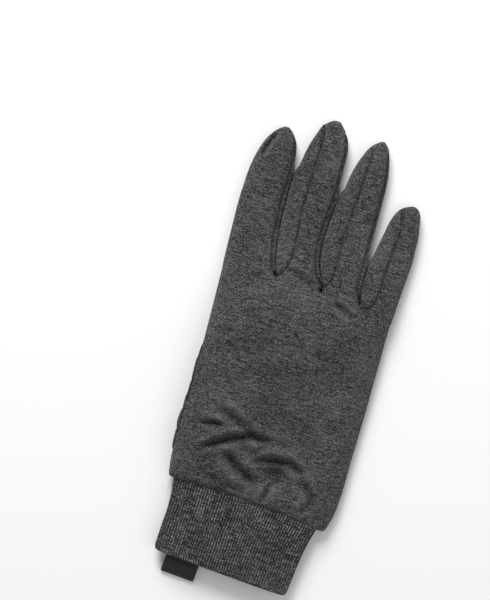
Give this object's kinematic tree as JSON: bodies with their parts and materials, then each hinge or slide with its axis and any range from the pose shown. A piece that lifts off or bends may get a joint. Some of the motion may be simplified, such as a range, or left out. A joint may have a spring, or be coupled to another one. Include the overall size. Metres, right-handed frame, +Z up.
{
  "type": "glove liner",
  "caption": "Knitted liner glove for the right hand, lying flat with its thumb folded under the palm, with a ribbed cuff and a cloth pull tab at the hem",
  "frame": {"origin": "middle of the footprint of the glove as it lies on its palm, on the surface", "axes": "+Y towards the fingertips, +X towards the little finger, +Z up out of the back of the hand"},
  "size_m": [0.1046, 0.265, 0.0174],
  "materials": {
    "knit_fabric": "soft heathered fine-gauge knit",
    "rib_knit": "soft ribbed knit",
    "tape": "matt twill tape"
  },
  "bodies": {
    "root": {"back_panel": "knit_fabric", "palm_panel": "knit_fabric", "side_strip_index_middle": "knit_fabric", "side_strip_middle_ring": "knit_fabric", "side_strip_ring_little": "knit_fabric", "thumb_back": "knit_fabric", "thumb_front": "knit_fabric", "cuff": "rib_knit", "pull_tab": "tape"}
  },
  "joints": []
}
